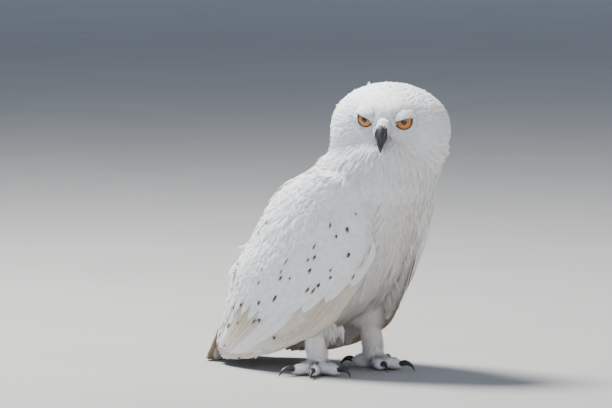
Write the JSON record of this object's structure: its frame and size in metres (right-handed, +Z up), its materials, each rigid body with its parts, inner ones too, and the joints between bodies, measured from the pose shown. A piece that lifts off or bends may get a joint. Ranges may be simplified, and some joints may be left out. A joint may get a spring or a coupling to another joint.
{
  "type": "snowy owl",
  "caption": "Life-size standing snowy owl, a still model with folded wings, body leaning forward and head turned to its right, resting on its feathered feet and tail tip.",
  "frame": {"origin": "bottom centre of the bounding box, on the floor", "axes": "+Z up, the body faces -Y, the owl's left is +X"},
  "size_m": [0.2232, 0.3854, 0.3795],
  "materials": {
    "plumage": "soft matte white body feathers with a few dark flecks",
    "flight_feathers": "satin white wing and tail feathers, warm at the edges",
    "horn": "blue-black satin horn of bill and claws",
    "eye": "wet gloss, amber iris round a black pupil"
  },
  "bodies": {
    "root": {"bill_lower": "horn", "bill_upper": "horn", "claw_left_hind": "horn", "claw_left_inner": "horn", "claw_left_middle": "horn", "claw_left_outer": "horn", "claw_right_hind": "horn", "claw_right_inner": "horn", "claw_right_middle": "horn", "claw_right_outer": "horn", "eye_left": "eye", "eye_right": "eye", "head": "plumage", "neck": "plumage", "tail": "flight_feathers", "tarsus_left": "plumage", "tarsus_right": "plumage", "thigh_left": "plumage", "thigh_right": "plumage", "toe_left_hind": "plumage", "toe_left_inner": "plumage", "toe_left_middle": "plumage", "toe_left_outer": "plumage", "toe_right_hind": "plumage", "toe_right_inner": "plumage", "toe_right_middle": "plumage", "toe_right_outer": "plumage", "trunk": "plumage", "wing_left": "flight_feathers", "wing_right": "flight_feathers"}
  },
  "joints": []
}
